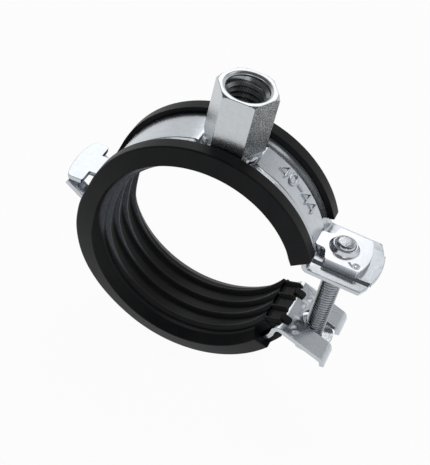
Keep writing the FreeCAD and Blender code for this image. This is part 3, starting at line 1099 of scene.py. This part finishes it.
class CLAMP_OT_lining(bpy.types.Operator):
    """Ribbed rubber lining, one strip that folds at the hook and grips the bands"""

    bl_idname = "clamp.lining"
    bl_label = "Lining"

    def execute(self, context):
        bm = bmesh.new()
        out = ring_point(1, -BODY_END)
        geometry = wire(bm, [Y_AXIS * y + out * r for y, r in lining_points()], closed=True)
        sweep = 360 - BODY_END - UPPER_END
        bmesh.ops.spin(
            bm, geom=geometry, cent=ORIGIN, axis=Y_AXIS, angle=math.radians(sweep),
            steps=round(sweep / ROW_DEGREES))
        bmesh.ops.holes_fill(bm, edges=[e for e in bm.edges if e.is_boundary], sides=0)
        # The free lip swells a little below the fold.
        land = mm("seat") + RIB_HEIGHT
        for vert in bm.verts:
            radius = math.hypot(vert.co.x, vert.co.z)
            angle = math.degrees(math.atan2(vert.co.z, vert.co.x)) % 360
            grow = LIP_SWELL * smooth_step(land, land + SWELL_RISE, radius)
            for ends in SWELL_ENDS:
                grow *= smooth_step(*ends, angle)
            vert.co.x *= 1 + grow / radius
            vert.co.z *= 1 + grow / radius
        # Below the fold the strip hangs open with the lower band.
        pivot = hinge_point()
        opening = math.degrees(sizes().opening)
        for vert in bm.verts:
            share = smooth_step(FOLD_TOP, FOLD_LOW, vert.co.z)
            vert.co = turn_y(pivot, opening * share) @ vert.co
        bmesh.ops.recalc_face_normals(bm, faces=bm.faces)
        lining = finish_mesh(bm, "lining_dressed")
        wide = LEFT_HALF + 0.3
        inner = mm("band_outer") - mm("sheet")
        opened = open_matrix()
        # The lips stop short of the body at the lower flange.
        stop = opened @ Matrix.Rotation(math.radians(LOWER_END), 4, "Y")
        tools = [block(
            "room", (-inner - 10, -wide, LEFT_FLANGE_Z - mm("sheet") - 0.5),
            (-inner, wide, LEFT_FLANGE_Z + LEFT_BEND + 0.1))]
        for low, high in ((-MOUTH_Y - 1, -BODY_HALF), (BODY_HALF, MOUTH_Y + 1)):
            tools.append(block("lip_end", (12, low, 0), (32, high, 9), stop))
        boolean(lining, tools)
        boolean(
            lining, (self.apron(opened), *(self.tongue(y, opened) for y in TONGUES)), "UNION")
        tidy_flats(lining)
        round_edges(lining, 0.14, 2, 25.0)
        lining.data.materials.clear()
        lining.data.materials.append(finish("lining"))
        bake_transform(lining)
        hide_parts("upper_lining", "lower_lining")
        return {"FINISHED"}

    def apron(self, opened):
        """The end of the lining, which swells over the bend of the lower flange."""
        bm = bmesh.new()
        ribs = [k * RIB_PITCH for k in (-1.5, -0.5, 0.5, 1.5)]
        edges = (-RIB_FOOT, -RIB_CREST, RIB_CREST, RIB_FOOT)
        rows = sorted([c + d for c in ribs for d in edges] + [-7.9, -4.7, 0, 4.7, 7.9])
        points = [Vector((x, rows[0], z)) for x, z in APRON_SECTION]
        front = only(wire(bm, points, closed=True), bmesh.types.BMEdge)
        for low, high in zip(rows, rows[1:]):
            fresh, front = sweep_on(bm, front)
            bmesh.ops.translate(bm, vec=(0, high - low, 0), verts=fresh)
        for vert in bm.verts:
            # The ribs run out on the top, and the edge is wavy.
            if vert.co.z > -8.9 or vert.co.x < 22:
                near = min(abs(vert.co.y - c) for c in ribs)
                vert.co.z += APRON_RIB * smooth_step(0.6, 0.35, near) * smooth_step(
                    26.3, 24.4, vert.co.x)
            vert.co.x += APRON_WAVE * math.sin(1.1 * vert.co.y + 0.6) * smooth_step(
                24.5, 26.5, vert.co.x)
        bmesh.ops.holes_fill(bm, edges=[e for e in bm.edges if e.is_boundary], sides=0)
        bmesh.ops.recalc_face_normals(bm, faces=bm.faces)
        return finish_mesh(bm, "apron", opened)

    def tongue(self, y, opened):
        """A rubber tongue that lies over the bend of the lower flange."""
        low, half = -0.1, TONGUE_WIDE
        slope = Matrix.Rotation(math.radians(LOWER_SLOPE), 4, "Y")
        place = opened @ Matrix.Translation((TONGUE_X, y, TONGUE_Z)) @ slope
        points = [(-0.8, -half, 0), (1.9, -half, 0.7), (2.1, half, 0.8), (-0.8, half, 0)]
        return finish_mesh(outline_solid(points, low, low + TONGUE_THICK), "tongue", place)


# The boss: the depth of its bore and of its thread, its countersink as radius and
# depth, the radius and the slope of its crown and the radius of its blank
BOSS_BORE = 12.0
BOSS_THREAD = 0.72
BOSS_SINK = (5.75, 0.42)
BOSS_CROWN = 6.75
BOSS_SLOPE = 38.0
BOSS_BLANK = 8.4
# Its foot narrows to a round neck that sits on the band.
BOSS_FOOT = 28.9
BOSS_NECK = 6.45
BOSS_NECK_TOP = 26.9
BOSS_NECK_LOW = 25.9
# It is welded on a little askew.
BOSS_TURN = 3.5
# Each drop of weld has its middle, the turn of its long side and its half sizes.
WELD_BEADS = (
    ((6.0, -3.1, 27.15), 63.5, (1.5, 0.55, 0.5)),
    ((5.0, -5.1, 27.3), 63.5, (0.8, 0.6, 0.45)),
    ((-5.6, -3.7, 27.2), -56.5, (1.2, 0.5, 0.45)),
)


class CLAMP_OT_threaded_boss(bpy.types.Operator):
    """Hexagonal boss with its inner thread, and the weld at its foot"""

    bl_idname = "clamp.threaded_boss"
    bl_label = "Threaded boss"

    def execute(self, context):
        across = mm("boss_across")
        minor = mm("boss_thread") / 2
        root = minor + BOSS_THREAD
        sink, deep = BOSS_SINK
        drop = (BOSS_BLANK - BOSS_CROWN) * math.tan(math.radians(BOSS_SLOPE))
        floor = BOSS_TOP - BOSS_BORE
        bm = lathe([
            (0, floor), (root, floor), (root, BOSS_TOP - deep), (sink, BOSS_TOP),
            (BOSS_CROWN, BOSS_TOP), (BOSS_BLANK, BOSS_TOP - drop), (BOSS_BLANK, BOSS_FOOT),
            (BOSS_NECK, BOSS_NECK_TOP), (BOSS_NECK, BOSS_NECK_LOW), (0, BOSS_NECK_LOW)], 96)
        hexagon(bm, across)
        boss = finish_mesh(bm, "boss_dressed", Matrix.Rotation(math.radians(BOSS_TURN), 4, "Z"))
        round_edges(boss, 0.2, 3, 20.0)
        # The rounding leaves a few points of the crown above its top.
        for vert in boss.data.vertices:
            vert.co.z = min(vert.co.z, BOSS_TOP * MM)
        join(
            boss, thread(0, root + 0.05, minor, mm("boss_pitch"), floor + 0.9, 6.7, 48),
            *(self.weld_bead(*bead) for bead in WELD_BEADS))
        dress(boss, "upper_half", "zinc_boss", "threaded_boss")
        return {"FINISHED"}

    def weld_bead(self, place, turn, size):
        """A flat drop of weld at the foot of a flat."""
        bm = bmesh.new()
        bmesh.ops.create_icosphere(bm, subdivisions=3, radius=1.0)
        for vert in bm.verts:
            vert.co *= 1 + 0.12 * math.sin(5 * vert.co.x + 3 * vert.co.y)
            vert.co.x *= size[0]
            vert.co.y *= size[1]
            vert.co.z *= size[2]
        spin = Matrix.Rotation(math.radians(turn), 4, "Z")
        bead = finish_mesh(bm, "bead", Matrix.Translation(place) @ spin)
        shade(bead, 60, False)
        return bead


def join(piece, *others):
    """Puts the meshes of other pieces into one piece."""
    bm = bmesh.new()
    for item in (piece, *others):
        bm.from_mesh(item.data)
    bm.to_mesh(piece.data)
    bm.free()
    for item in others:
        bpy.data.objects.remove(item)


# The nut plate: its thickness, and how far behind the bolt's axis it widens
PLATE_SHEET = 1.8
PLATE_BACK = 2.9
# Its mark: place, height of the sign and depth
MARK_PLACE = (35.5, -4.35)
MARK_SIZE = 4.2
MARK_DEPTH = 0.12


class CLAMP_OT_nut_plate(bpy.types.Operator):
    """Plate with a tongue and a drawn collar for the bolt, whose bore is plain"""

    bl_idname = "clamp.nut_plate"
    bl_label = "Nut plate"

    def execute(self, context):
        low = PLATE_LOW.z
        top = low + PLATE_SHEET
        tip, nose, half = PLATE_LOW.x, PLATE_HIGH.x, PLATE_HIGH.y
        left = BOLT_X - PLATE_BACK
        side = [
            (tip, TONGUE_HALF, 1.1), (left - 0.9, 2.75, 0.9), (left - 0.05, half, 0.5),
            (nose - 1.3, half, 0.45), (nose - 0.55, half * 0.66, 1.0),
            (nose - 0.1, half * 0.33, 1.0)]
        points = side + [(nose, 0, 0)] + [(x, -y, r) for x, y, r in reversed(side)]
        plate = finish_mesh(outline_solid(points, low, top), "nut_plate_dressed")
        bore = mm("bolt") / 2 + 0.05
        rim = PLATE_HIGH.z
        collar = finish_mesh(lathe([
            (bore, low + 0.2), (bore, rim - 0.1), (bore + 0.1, rim), (2.86, rim),
            (2.95, rim - 0.08), (3.3, top + 0.32), (3.46, top + 0.12), (3.6, top + 0.02),
            (3.65, top - 0.1), (3.65, low + 0.2), (bore, low + 0.2)], 72, BOLT_X), "collar")
        hole = bmesh.new()
        bmesh.ops.create_cone(
            hole, cap_ends=True, segments=72, radius1=bore, radius2=bore, depth=8,
            matrix=Matrix.Translation((BOLT_X, 0, low + 1)))
        boolean(plate, [collar], "UNION")
        lay = Matrix.Translation((*MARK_PLACE, top)) @ Matrix.Rotation(math.radians(90), 4, "Z")
        mark = finish_mesh(words("6", MARK_SIZE, MARK_DEPTH), "mark", lay)
        boolean(plate, [finish_mesh(hole, "hole"), mark])
        tidy_flats(plate)
        round_edges(plate, 0.14, 2, 32.0)
        dress(plate, "upper_half", "zinc_plate", "nut_plate")
        return {"FINISHED"}


# Round tip of the bolt: how far each point lies inside the crest and under the top
BOLT_TIP = ((0.03, 1.05), (0.05, 0.75), (0.16, 0.45), (0.34, 0.22), (0.6, 0.07), (1.0, 0.01))
# Depth of its thread, the heights and the radius of its washer, and its head
BOLT_THREAD = 0.56
WASHER_TOP = -17.3
WASHER_LOW = -18.3
WASHER_RADIUS = 5.1
HEAD_ACROSS = 8.0
HEAD_BLANK = 5.4


class CLAMP_OT_closing_bolt(bpy.types.Operator):
    """Threaded closing bolt with its hexagon head and fixed washer"""

    bl_idname = "clamp.closing_bolt"
    bl_label = "Closing bolt"

    def execute(self, context):
        top = BOLT_HIGH.z
        crest = mm("bolt") / 2
        pitch = mm("bolt_pitch")
        root = crest - BOLT_THREAD
        bm = lathe([
            (0, WASHER_TOP - 0.3), (root, WASHER_TOP - 0.3), (root, top - 1.3),
            *((crest - inside, top - under) for inside, under in BOLT_TIP), (0, top)],
            48, BOLT_X)
        turns = (top - 1.2 - WASHER_TOP) / pitch
        ridge = thread(BOLT_X, root - 0.02, crest, pitch, WASHER_TOP - 0.1, turns, 32)
        shank = finish_mesh(bm, "bolt_dressed")
        shade(shank, 40, False)
        head_low = BOLT_LOW.z
        blank = lathe([
            (0, head_low), (3.7, head_low), (4.75, head_low + 0.6),
            (HEAD_BLANK, head_low + 1.0), (HEAD_BLANK, WASHER_LOW + 0.2),
            (0, WASHER_LOW + 0.2)], 72, BOLT_X)
        hexagon(blank, HEAD_ACROSS, BOLT_X)
        head = finish_mesh(blank, "head")
        round_edges(head, 0.12, 2, 20.0)
        disc = finish_mesh(lathe([
            (0, WASHER_LOW), (WASHER_RADIUS, WASHER_LOW), (WASHER_RADIUS, WASHER_TOP),
            (0, WASHER_TOP)], 72, BOLT_X), "washer")
        round_edges(disc, 0.12, 2, 40.0)
        join(shank, ridge, head, disc)
        dress(shank, "bolt", "zinc_bolt", "closing_bolt")
        return {"FINISHED"}


# The camera: its direction and roll in degrees, where the origin lies in its view in
# millimetres (right, down, ahead), and its lens, for a frame of this height in pixels
CAMERA_AZIMUTH = 12.32
CAMERA_ELEVATION = 42.45
CAMERA_ROLL = 15.57
CAMERA_SHIFT = Vector((-1.14, -1.18, 292.52))
FOCAL_PIXELS = 1224.7
FRAME_HEIGHT = 465
# How brightly the floor glows to the eye and in reflections
FLOOR_GLOW = 0.95
# Bright panels of the studio: direction, the degrees where each starts to fade and
# where it ends, and its strength
PANELS = (
    ((0.400, 0.450, 0.798), 6.0, 13.0, 1.5),
    ((0.360, -0.660, 0.659), 9.0, 15.0, 1.6),
    ((-0.111, 0.510, 0.853), 5.0, 11.0, 1.6),
)


def make_camera():
    """The camera of the photograph."""
    a, e, r = (math.radians(x) for x in (CAMERA_AZIMUTH, CAMERA_ELEVATION, CAMERA_ROLL))
    back = Vector((math.sin(a) * math.cos(e), -math.cos(a) * math.cos(e), math.sin(e)))
    level = (-back).cross(Vector((0, 0, 1))).normalized()
    upright = level.cross(-back)
    right = level * math.cos(r) + upright * math.sin(r)
    up = upright * math.cos(r) - level * math.sin(r)
    rows = Matrix((right, -up, -back))
    place = -(rows.transposed() @ CAMERA_SHIFT)
    data = bpy.data.cameras.new("camera")
    data.sensor_width = 36
    data.lens = FOCAL_PIXELS / FRAME_HEIGHT * data.sensor_width
    data.clip_start, data.clip_end = 0.01, 10
    camera = bpy.data.objects.new("camera", data)
    camera.matrix_world = Matrix.Translation(place * MM) @ Matrix(
        (right, up, back)).transposed().to_4x4()
    bpy.context.scene.collection.objects.link(camera)
    bpy.context.scene.camera = camera


def lamp(name, place, wide, high, power):
    """An oval lamp that looks at the origin."""
    data = bpy.data.lights.new(name, "AREA")
    data.shape = "ELLIPSE"
    data.size, data.size_y = wide, high
    data.energy = power
    piece = bpy.data.objects.new(name, data)
    piece.location = place
    piece.rotation_euler = (-Vector(place)).to_track_quat("-Z", "Y").to_euler()
    bpy.context.scene.collection.objects.link(piece)


class CLAMP_OT_stage(bpy.types.Operator):
    """Pale floor, soft lamps, white surroundings and the camera"""

    bl_idname = "clamp.stage"
    bl_label = "Stage"

    def execute(self, context):
        bm = bmesh.new()
        bmesh.ops.create_grid(bm, x_segments=1, y_segments=1, size=3000)
        bmesh.ops.translate(bm, vec=(0, 0, CAD_BOX[0].z / MM - 0.05), verts=bm.verts)
        ground = finish_mesh(bm, "floor")
        material, tree = new_material("pale_floor")
        tint = tuple(context.scene.clamp_finishes.floor)
        matt = add(tree, "ShaderNodeBsdfPrincipled", {"Base Color": tint, "Roughness": 0.8})
        glow = add(tree, "ShaderNodeEmission", {"Color": (1, 1, 1, 1), "Strength": 1.0})
        seen = add(tree, "ShaderNodeLightPath")
        shown = combine(
            tree, "MAXIMUM", seen.outputs["Is Camera Ray"], seen.outputs["Is Glossy Ray"])
        shown = combine(tree, "MAXIMUM", shown, seen.outputs["Is Transmission Ray"])
        both = add(tree, "ShaderNodeMixShader", {
            0: combine(tree, "MULTIPLY", shown, FLOOR_GLOW), 1: matt.outputs[0],
            2: glow.outputs[0]})
        add(tree, "ShaderNodeOutputMaterial", {"Surface": both.outputs[0]})
        ground.data.materials.append(material)
        world = bpy.data.worlds.new("studio")
        context.scene.world = world
        world.use_nodes = True
        tree = world.node_tree
        tree.nodes.clear()
        # White surroundings low down, a ceiling that is dark towards the front, a darker
        # left side, and three bright panels over it.
        way = add(tree, "ShaderNodeTexCoord").outputs["Generated"]
        x, y, z = add(tree, "ShaderNodeSeparateXYZ", {"Vector": way}).outputs
        ceiling = fade(tree, y, 0.0, 0.7, 0.10, 0.38)
        rise = fade(tree, z, 0.35, 0.75, 0.0, 1.0)
        upper = add(tree, "ShaderNodeMix", {0: rise, 2: 0.9, 3: ceiling}).outputs[0]
        left = combine(
            tree, "MULTIPLY", fade(tree, x, -0.9, -0.4, 0.7, 0.0),
            fade(tree, y, 0.1, 0.5, 1.0, 0.0))
        strength = combine(tree, "MULTIPLY", upper, combine(tree, "SUBTRACT", 1.0, left))
        for toward, inner, outer, level in PANELS:
            lean = add(tree, "ShaderNodeVectorMath", {0: way, 1: toward}, operation="DOT_PRODUCT")
            share = fade(
                tree, lean.outputs["Value"], math.cos(math.radians(outer)),
                math.cos(math.radians(inner)), 0.0, level)
            strength = combine(tree, "MAXIMUM", strength, share)
        sky = add(tree, "ShaderNodeBackground", {
            "Color": (1, 1, 1, 1), "Strength": strength})
        add(tree, "ShaderNodeOutputWorld", {"Surface": sky.outputs[0]})
        lamp("softbox", (-0.170, 0.421, 0.394), 0.44, 0.34, 0.50)
        lamp("fill", (-0.35, -0.35, 0.30), 0.30, 0.30, 0.15)
        make_camera()
        context.scene.view_settings.view_transform = "Standard"
        return {"FINISHED"}


class CLAMP_PT_panel(bpy.types.Panel):
    """Lists the sizes, the colours and the pieces of the clamp"""

    bl_idname = "CLAMP_PT_panel"
    bl_label = "Pipe clamp"
    bl_space_type = "VIEW_3D"
    bl_region_type = "UI"
    bl_category = "Pipe clamp"

    def draw(self, context):
        layout = self.layout
        for group in (context.scene.clamp_sizes, context.scene.clamp_finishes):
            column = layout.column()
            for name in group.bl_rna.properties.keys():
                if name not in ("name", "rna_type"):
                    column.prop(group, name)
        for operator in OPERATORS:
            layout.operator(operator.bl_idname)


OPERATORS = (
    CLAMP_OT_upper_band,
    CLAMP_OT_lower_band,
    CLAMP_OT_lining,
    CLAMP_OT_threaded_boss,
    CLAMP_OT_nut_plate,
    CLAMP_OT_closing_bolt,
    CLAMP_OT_stage,
)
CLASSES = (ClampSizes, ClampFinishes, *OPERATORS, CLAMP_PT_panel)


def register():
    for item in CLASSES:
        bpy.utils.register_class(item)
    bpy.types.Scene.clamp_sizes = bpy.props.PointerProperty(type=ClampSizes)
    bpy.types.Scene.clamp_finishes = bpy.props.PointerProperty(type=ClampFinishes)


def unregister():
    del bpy.types.Scene.clamp_finishes
    del bpy.types.Scene.clamp_sizes
    for item in reversed(CLASSES):
        bpy.utils.unregister_class(item)


def main():
    register()
    bpy.ops.clamp.upper_band()
    bpy.ops.clamp.lower_band()
    bpy.ops.clamp.lining()
    bpy.ops.clamp.threaded_boss()
    bpy.ops.clamp.nut_plate()
    bpy.ops.clamp.closing_bolt()
    bpy.ops.clamp.stage()


if __name__ == "__main__":
    main()
